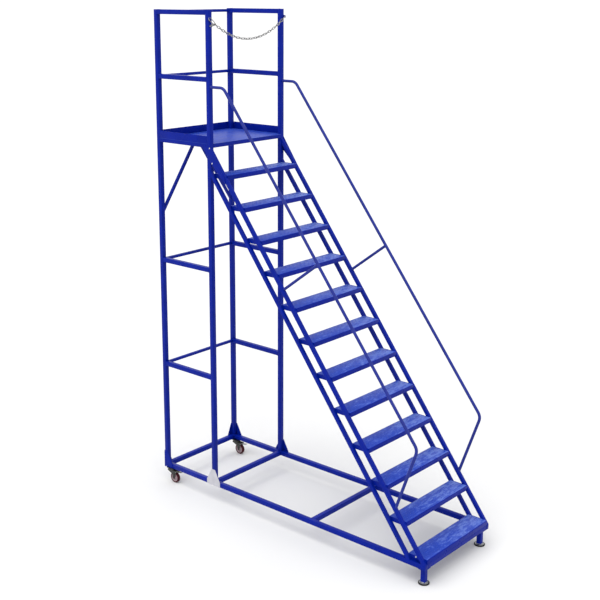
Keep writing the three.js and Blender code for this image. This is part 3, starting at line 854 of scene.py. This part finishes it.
def make_chain():
    """Links along a catenary from the right lug to the snap hook at the left one."""
    _, plane_y, hang_z = JOINTS["safety_chain_swing"]["pos_m"]
    sag = hang_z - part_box("safety_chain")[0].z - CHAIN_RADIUS
    line = [Vector((x, plane_y, hang_z + z)) for x, z in catenary(OUTER_X + PLATE / 2, sag)]
    total = sum((b - a).length for a, b in zip(line, line[1:]))
    start = 7 * MM
    count = int((total - HOOK_LENGTH - start) / LINK_PITCH)
    pitch = (total - HOOK_LENGTH - start) / count
    links = []
    for i in range(count):
        centre, along = walk(line, start + pitch * (i + 0.5))
        links.append(link_mesh(centre, along, LINK_ROLLS[i % 2]))
    join_point, _ = walk(line, start + pitch * count)
    links += spare_links(join_point)
    mesh = merged("chain_links", links)
    make_piece("chain_links", mesh, chain_zinc, "safety_chain", ["safety_chain"])
    make_snap_hook(line[-1], join_point)


def spare_links(tail):
    """The two links that hang on beyond the hook, towards the post."""
    links = []
    for i in range(2):
        away = Vector((-1, 0, -0.15 - 0.2 * i)).normalized()
        links.append(link_mesh(tail + away * LINK_PITCH * 0.45, away, LINK_ROLLS[i % 2]))
        tail = tail + away * LINK_PITCH * 0.95
    return links


def make_snap_hook(lug_point, link_point):
    """Closed wire hook with a hinged gate and the pin of its hinge."""
    along = (lug_point - link_point).normalized()
    side = along.cross(Vector((0, 1, 0))).normalized()
    middle = (lug_point + link_point) / 2
    length = (lug_point - link_point).length + 12 * MM
    wire = 3.4 * MM
    wide, narrow = 14 * MM, 7 * MM
    body = []
    for i in range(48):
        a = 2 * math.pi * i / 48
        blend = 0.5 + 0.5 * math.cos(a)
        width = narrow + (wide - narrow) * blend
        u = math.copysign(abs(math.cos(a)) ** 0.55, math.cos(a)) * (length / 2 - wire)
        v = math.copysign(abs(math.sin(a)) ** 0.9, math.sin(a)) * width
        body.append(middle + u * along + v * side)
    loop = sweep("loop", body, wire, 12, True)
    gate_from = middle + along * length * 0.06 + side * (narrow + 3.2 * MM)
    gate_to = middle + along * length * 0.3 + side * (wide - 1.5 * MM)
    gate = sweep("gate", [gate_from.lerp(gate_to, i / 4) for i in range(5)], wire * 1.25, 12)
    hinge_axis = along.cross(side)
    pin = turned("pin", [(0, -5 * MM), (1.6 * MM, -5 * MM), (1.6 * MM, 5 * MM), (0, 5 * MM)],
                 gate_from, hinge_axis, 16)
    mesh = merged("snap_hook", [loop, gate, pin])
    make_piece("snap_hook", mesh, chain_zinc, "safety_chain")


# ---- foot pads -------------------------------------------------------------------------------


def make_foot_pads():
    """Rubber sole and steel disc under each front leg."""
    for side_name, _ in SIDES:
        node = f"foot_pad_{side_name}"
        low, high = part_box(node)
        centre = Vector(((low.x + high.x) / 2, (low.y + high.y) / 2, 0))
        radius = (high.x - low.x) / 2
        height = high.z
        sole = turned(node + "_sole", [
            (0, 0), (radius - 2.5 * MM, 0), (radius - 0.7 * MM, 0.7 * MM), (radius, 2.4 * MM),
            (radius, 7.4 * MM), (radius - 0.8 * MM, 9 * MM), (radius - 3 * MM, 9.8 * MM), (0, 9.8 * MM),
        ], centre, (0, 0, 1), 72)
        make_piece(node + "_sole", sole, black_rubber, FRAME)
        disc = turned(node + "_disc", [
            (0, 9.4 * MM), (radius - 8.4 * MM, 9.4 * MM), (radius - 7.8 * MM, 10 * MM),
            (radius - 8.4 * MM, 11.4 * MM), (radius - 11 * MM, 12.6 * MM), (30 * MM, 14 * MM),
            (27 * MM, 15.4 * MM), (25 * MM, 17 * MM), (24 * MM, height), (0, height),
        ], centre, (0, 0, 1), 72)
        make_piece(node + "_disc", disc, pad_steel, FRAME, [node])
        leg = Vector((centre.x, centre.y, height))
        half = TUBE / 2
        bead_round(leg - Vector((half, half, 0)), leg + Vector((half, half, 0)), 2)


# ---- casters ---------------------------------------------------------------------------------

FLANGE = 5 * MM  # thickness of the top plate
FORK_TOP = 119 * MM
CROWN_BOTTOM = 114 * MM
CHEEK_INNER = 18.5 * MM  # from the wheel's middle plane to the inside of a cheek
CHEEK_OUTER = 22 * MM
RIB_COUNT = 8  # on each side of a wheel core


def make_caster(side_name):
    swivel = Vector(JOINTS[f"caster_{side_name}_swivel_turn"]["pos_m"])
    axle = Vector(JOINTS[f"caster_{side_name}_roll"]["pos_m"])
    pin = Vector(JOINTS[f"caster_{side_name}_brake_press"]["pos_m"])
    make_caster_mount(side_name, swivel)
    make_caster_fork(side_name, swivel, axle, pin)
    make_caster_wheel(side_name, axle)
    make_brake_pedal(side_name, pin)


def make_caster_mount(side_name, swivel):
    """Top plate with rounded corners, its four bolts and the kingpin."""
    node = f"caster_{side_name}_mount"
    low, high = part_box(node)
    corner = 9 * MM
    outline = []
    for u, v, start in ((1, 1, 0), (-1, 1, 90), (-1, -1, 180), (1, -1, 270)):
        corner_x = (high.x if u > 0 else low.x) - u * corner
        corner_y = (high.y if v > 0 else low.y) - v * corner
        outline += arc(corner_x, corner_y, corner, start, start + 90, 5)
    flange = plate("flange", outline, [], FLANGE, laid_flat(high.z - FLANGE / 2), 0.7 * MM)
    bottom = low.z - swivel.z
    top = high.z - swivel.z - FLANGE
    stem = turned("stem", [
        (0, bottom), (12 * MM, bottom), (13 * MM, bottom + 1 * MM), (13 * MM, bottom + 5 * MM),
        (9 * MM, bottom + 6 * MM), (9 * MM, top), (0, top),
    ], swivel, (0, 0, 1), 40)
    make_piece(node + "_plate", merged(node + "_plate", [flange, stem]), zinc_painted_dark, FRAME, [node])
    for u in (-1, 1):
        for v in (-1, 1):
            centre = (swivel.x + u * 30 * MM, swivel.y + v * 34 * MM, high.z - FLANGE)
            name = f"caster_bolt_{side_name}_{'ab'[u > 0]}{'ab'[v > 0]}"
            bolt(name, centre, (0, 0, -1), 4.2 * MM, bright_zinc)


def make_caster_fork(side_name, swivel, axle, pin):
    """Pressed fork: two cheeks, the crown over them, the ball race above it and the axle."""
    reach = swivel.y + 44 * MM
    crown_low = (axle.x - CHEEK_OUTER + 0.5 * MM, swivel.y - 43 * MM, CROWN_BOTTOM)
    crown_high = (axle.x + CHEEK_OUTER - 0.5 * MM, reach, FORK_TOP)
    parts = fork_cheeks(axle, pin, reach)
    parts.append(hull("crown", corners(crown_low, crown_high), 1.5 * MM, long_from=0.03))
    parts.append(ball_race(swivel))
    parts += axle_parts(axle)
    node = f"caster_{side_name}_fork"
    mesh = merged(node + "_pressed", parts)
    make_piece(node + "_pressed", mesh, zinc_painted_dark, f"caster_{side_name}_swivel", [node])


def fork_cheeks(axle, pin, reach):
    """Two cheeks that taper from the crown to a round end about the axle."""
    trail = axle.y - 32 * MM
    waist = CROWN_BOTTOM - 32 * MM
    outline = [(reach - 3 * MM, FORK_TOP), (trail + 3 * MM, FORK_TOP), (trail, FORK_TOP - 3 * MM)]
    outline += [(trail, CROWN_BOTTOM - 13 * MM), (axle.y - 14 * MM, waist)]
    outline += arc(axle.y, axle.z, 12 * MM, 180, 360, 14)
    outline += [(axle.y + 20 * MM, waist), (reach, CROWN_BOTTOM - 8 * MM), (reach, FORK_TOP - 3 * MM)]
    pin_hole = [(pin.y, pin.z, 4.3 * MM)]
    thick = CHEEK_OUTER - CHEEK_INNER
    middle = (CHEEK_INNER + CHEEK_OUTER) / 2
    places = [laid_across_x(axle.x + side * middle) for side in (-1, 1)]
    return [plate("cheek", outline, pin_hole, thick, place, 0.7 * MM) for place in places]


def ball_race(swivel):
    """Two pressed cups with a groove between them, round the kingpin."""
    bore = 9.3 * MM
    low = 116 * MM - swivel.z
    top = 136.5 * MM - swivel.z
    return turned("race", [
        (bore, low), (24 * MM, low), (27 * MM, low + 4 * MM), (30 * MM, low + 6 * MM),
        (31 * MM, low + 9 * MM), (31 * MM, low + 12 * MM), (29 * MM, low + 14 * MM),
        (29 * MM, low + 15.5 * MM), (32 * MM, low + 17 * MM), (32.5 * MM, low + 20 * MM),
        (30.5 * MM, top), (bore, top), (bore, low),
    ], swivel, (0, 0, 1), 64)


def axle_parts(axle):
    """The axle with a washer and a hexagon at each end."""
    parts = []
    for side in (-1, 1):
        end = (axle.x + side * CHEEK_OUTER, axle.y, axle.z)
        parts.append(turned("nut", [
            (0, 0), (9.5 * MM, 0), (10 * MM, 0.6 * MM), (10 * MM, 1.6 * MM), (0, 1.6 * MM),
        ], end, (side, 0, 0), 28))
        parts.append(turned("head", [
            (0, 1.2 * MM), (8.6 * MM, 1.2 * MM), (8.8 * MM, 2 * MM), (8.4 * MM, 3.8 * MM), (0, 4 * MM),
        ], end, (side, 0, 0), 6))
    half = CHEEK_INNER + 1 * MM
    radius = 6 * MM
    profile = [(0, -half), (radius, -half), (radius, half), (0, half)]
    parts.append(turned("axle", profile, axle, (1, 0, 0), 32))
    return parts


def make_caster_wheel(side_name, axle):
    body = f"caster_{side_name}_roller"
    node = f"caster_{side_name}_wheel"
    mesh = merged(node + "_core", [wheel_core(axle), *core_ribs(axle)])
    make_piece(node + "_core", mesh, core_plastic, body, [node])
    profile = [(37.8, -13)] + [(45.2 + u, v) for u, v in arc(0, -10, 4.8, -90, 0, 8)]
    profile += [(50, -3), (50, 3)]
    profile += [(45.2 + u, v) for u, v in arc(0, 10, 4.8, 0, 90, 8)] + [(37.8, 13), (37.8, -13)]
    node = f"caster_{side_name}_tyre"
    tyre = turned(node + "_ring", [(r * MM, x * MM) for r, x in profile], axle, (1, 0, 0), 96)
    make_piece(node + "_ring", tyre, tyre_rubber, body, [node])


def wheel_core(axle):
    """Hub, thin web and rim. The profile is one side of the wheel, mirrored for the other."""
    half = [
        (6.3, 17), (12.5, 17), (14, 16), (15, 14), (15.5, 9), (17, 7.2), (28, 6), (30.5, 7),
        (31.5, 12.5), (32.5, 13.5), (37.4, 13.5),
    ]
    profile = [(r, -x) for r, x in half] + half[::-1] + [(half[0][0], -half[0][1])]
    return turned("core", [(r * MM, x * MM) for r, x in profile], axle, (1, 0, 0), 80)


def core_ribs(axle):
    """Radial ribs from the hub to the rim, on both sides of the web."""
    ribs = []
    for i in range(RIB_COUNT):
        for side in (-1, 1):
            limits = corners(
                (side * 6 * MM - 1 * MM, 14 * MM, -1.3 * MM), (side * 10 * MM + 1 * MM, 32 * MM, 1.3 * MM)
            )
            rib = hull("rib", limits, 0.6 * MM, long_from=0.01)
            rib.transform(Matrix.Translation(axle) @ Matrix.Rotation(2 * math.pi * i / RIB_COUNT, 4, "X"))
            ribs.append(rib)
    return ribs


def make_brake_pedal(side_name, pin):
    """Pressed lever on its cross pin, with a turned-up tip."""
    node = f"caster_{side_name}_brake_pedal"
    top = [(0, 1.5), (-18, 4), (-40, 7.4), (-57, 9.4), (-61, 10.6), (-64, 10.2)]
    under = [(-64, 7.2), (-57, 6.6), (-40, 4.4), (-18, 1), (0, -1.5)]
    outline = [(pin.y + u * MM, pin.z + v * MM) for u, v in top + under]
    lever = plate("lever", outline, [], 28 * MM, laid_across_x(pin.x), 0.6 * MM)
    end = 24 * MM
    cross = turned("cross", [
        (0, -end), (3.4 * MM, -end), (4 * MM, -end + 0.6 * MM), (4 * MM, end - 0.6 * MM),
        (3.4 * MM, end), (0, end),
    ], pin, (1, 0, 0), 24)
    grips = []
    half = Vector((11 * MM, 0, 0))
    for i in range(4):
        middle = pin + Vector((0, -(42 + 5 * i) * MM, (7.7 + 0.62 * i) * MM))
        grips.append(sweep("grip", [middle - half, middle + half], 0.9 * MM, 8))
    mesh = merged(node + "_lever", [lever, cross, *grips])
    make_piece(node + "_lever", mesh, pedal_steel, f"caster_{side_name}_brake", [node])


# ---- floor, light and camera -----------------------------------------------------------------

CAMERA_TURN = math.radians(41.46)  # of the view direction from +X towards +Y
CAMERA_DROP = math.radians(13.49)  # of the view direction below level
CAMERA_DISTANCE = 9.203  # from the object's middle, along the view direction
CAMERA_SIDE = -0.324  # to the right of the line through the object's middle
CAMERA_RISE = 0.156  # above that line
CAMERA_LENS = 65.84
CAMERA_SHIFT = (0.0333, -0.075)
FLOOR_HALF = 1000
SUN_DIRECTION = Vector((0.37, -0.04, -0.93))


def make_camera():
    forward = Vector((
        math.cos(CAMERA_TURN) * math.cos(CAMERA_DROP),
        math.sin(CAMERA_TURN) * math.cos(CAMERA_DROP),
        -math.sin(CAMERA_DROP),
    ))
    right = Vector((math.sin(CAMERA_TURN), -math.cos(CAMERA_TURN), 0))
    up = right.cross(forward)
    data = bpy.data.cameras.new("camera")
    data.lens = CAMERA_LENS
    data.sensor_width = 36
    data.shift_x, data.shift_y = CAMERA_SHIFT
    data.clip_end = 5000
    camera = bpy.data.objects.new("camera", data)
    bpy.context.scene.collection.objects.link(camera)
    middle = (cad_low + cad_high) / 2
    camera.location = middle - forward * CAMERA_DISTANCE + right * CAMERA_SIDE + up * CAMERA_RISE
    camera.rotation_mode = "QUATERNION"
    camera.rotation_quaternion = forward.to_track_quat("-Z", "Y")
    bpy.context.scene.camera = camera


def make_floor():
    bm = bmesh.new()
    bmesh.ops.create_grid(bm, x_segments=2, y_segments=2, size=FLOOR_HALF)
    floor = bpy.data.objects.new("floor", finish_mesh("floor", bm))
    material, nodes, links, shader, place = new_material("pale_floor")
    clouds = noise(nodes, links, place, 0.7, 2)
    tint = ramp(nodes, links, clouds.outputs["Fac"], [(0.3, (0.66, 0.66, 0.66)), (0.7, (0.68, 0.68, 0.68))])
    links.new(tint, shader.inputs["Base Color"])
    shader.inputs["Roughness"].default_value = 0.9
    shader.inputs["Specular IOR Level"].default_value = 0.1
    floor.data.materials.append(material)
    bpy.context.scene.collection.objects.link(floor)


def make_light():
    world = bpy.data.worlds.new("studio")
    world.use_nodes = True
    background = world.node_tree.nodes["Background"]
    background.inputs["Color"].default_value = (1, 1, 1, 1)
    background.inputs["Strength"].default_value = 1.0
    bpy.context.scene.world = world
    bpy.context.scene.view_settings.view_transform = "Standard"

    data = bpy.data.lights.new("overhead", "SUN")
    data.energy = 2.2
    data.angle = math.radians(70)
    lamp = bpy.data.objects.new("overhead", data)
    lamp.rotation_mode = "QUATERNION"
    lamp.rotation_quaternion = SUN_DIRECTION.to_track_quat("-Z", "Y")
    bpy.context.scene.collection.objects.link(lamp)


make_camera()
make_light()
make_floor()
make_posts()
make_rails()
make_base()
make_stringers()
make_foot_gussets()
make_treads()
make_platform()
make_handrails()
make_chain()
make_foot_pads()
for side_name, _ in SIDES:
    make_caster(side_name)
coated("weld_beads", merged("weld_beads", bead_meshes))
